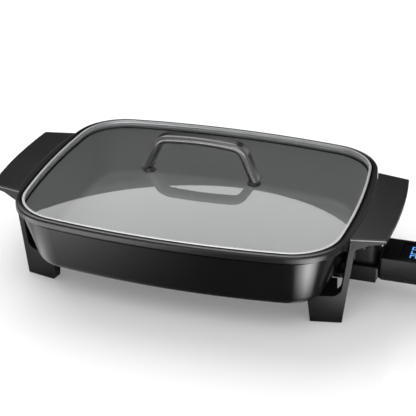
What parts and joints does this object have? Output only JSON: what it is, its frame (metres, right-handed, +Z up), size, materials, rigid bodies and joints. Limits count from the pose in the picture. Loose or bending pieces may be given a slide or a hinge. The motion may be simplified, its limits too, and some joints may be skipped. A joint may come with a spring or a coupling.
{
  "type": "electric skillet",
  "caption": "Rectangular electric skillet with a lift-off domed glass lid, handle wings on leg frames and a plug-in digital temperature controller.",
  "frame": {"origin": "on the table under the middle of the pan, in the plane of the foot pads", "axes": "+X from the pan towards the controller, +Y from the front to the back, +Z up"},
  "size_m": [0.5557, 0.2986, 0.1603],
  "materials": {
    "pan_coating": "die-cast aluminium with a satin black non-stick coating",
    "leg_moulding": "fine-grained black heat-resistant moulding",
    "handle_skin": "smooth satin black moulding",
    "foot_rubber": "soft black rubber",
    "screw_steel": "plated steel",
    "element_steel": "heat-darkened sheath",
    "pin_metal": "nickel plated",
    "bead_ceramic": "unglazed ceramic",
    "lid_glass": "clear tempered glass",
    "lid_steel": "polished stainless band",
    "grip_moulding": "semi-gloss black moulding",
    "soft_seal": "silicone",
    "case_plastic": "semi-gloss black case",
    "window_plastic": "smoked gloss window",
    "button_plastic": "soft-gloss key caps",
    "board_laminate": "green solder mask",
    "component_plastic": "moulded components",
    "can_metal": "sleeved can"
  },
  "bodies": {
    "root": {"pan": "pan_coating", "heating_element": "element_steel", "terminal_pins": "pin_metal", "terminal_beads": "bead_ceramic", "terminal_guard": "leg_moulding", "guard_screws": "screw_steel", "left_leg_frame": "leg_moulding", "left_handle_cover": "handle_skin", "left_frame_screws": "screw_steel", "left_cover_screws": "screw_steel", "left_front_foot_pad": "foot_rubber", "left_back_foot_pad": "foot_rubber", "right_leg_frame": "leg_moulding", "right_handle_cover": "handle_skin", "right_frame_screws": "screw_steel", "right_cover_screws": "screw_steel", "right_front_foot_pad": "foot_rubber", "right_back_foot_pad": "foot_rubber"},
    "lid": {"glass_lid": "lid_glass", "lid_band": "lid_steel", "lid_handle": "grip_moulding", "lid_gaskets": "soft_seal", "lid_washers": "soft_seal", "lid_screws": "screw_steel"},
    "controller": {"controller_top_shell": "case_plastic", "controller_bottom_shell": "case_plastic", "controller_screws": "screw_steel", "controller_nose": "component_plastic", "receptacle_sleeves": "pin_metal", "temperature_probe": "pin_metal", "display_window": "window_plastic", "display_module": "component_plastic", "display_board": "board_laminate", "main_board": "board_laminate", "board_screws": "screw_steel", "relay": "component_plastic", "power_supply": "component_plastic", "capacitor": "can_metal", "key_board": "board_laminate", "key_switches": "component_plastic", "cord_gland": "soft_seal"},
    "power_button": {"power_button": "button_plastic"},
    "minus_button": {"minus_button": "button_plastic"},
    "plus_button": {"plus_button": "button_plastic"}
  },
  "joints": [
    {"name": "lid_lift", "type": "slide", "parent": "root", "child": "lid", "axis": [0, 0, 1], "range_m": [0, 0.15]},
    {"name": "controller_unplug", "type": "slide", "parent": "root", "child": "controller", "axis": [1, 0, 0], "range_m": [0, 0.09]},
    {"name": "power_button_press", "type": "slide", "parent": "controller", "child": "power_button", "axis": [0, 0, -1], "range_m": [0, 0.0008], "stiffness_N_per_m": 400},
    {"name": "minus_button_press", "type": "slide", "parent": "controller", "child": "minus_button", "axis": [0, 0, -1], "range_m": [0, 0.0008], "stiffness_N_per_m": 400},
    {"name": "plus_button_press", "type": "slide", "parent": "controller", "child": "plus_button", "axis": [0, 0, -1], "range_m": [0, 0.0008], "stiffness_N_per_m": 400}
  ]
}
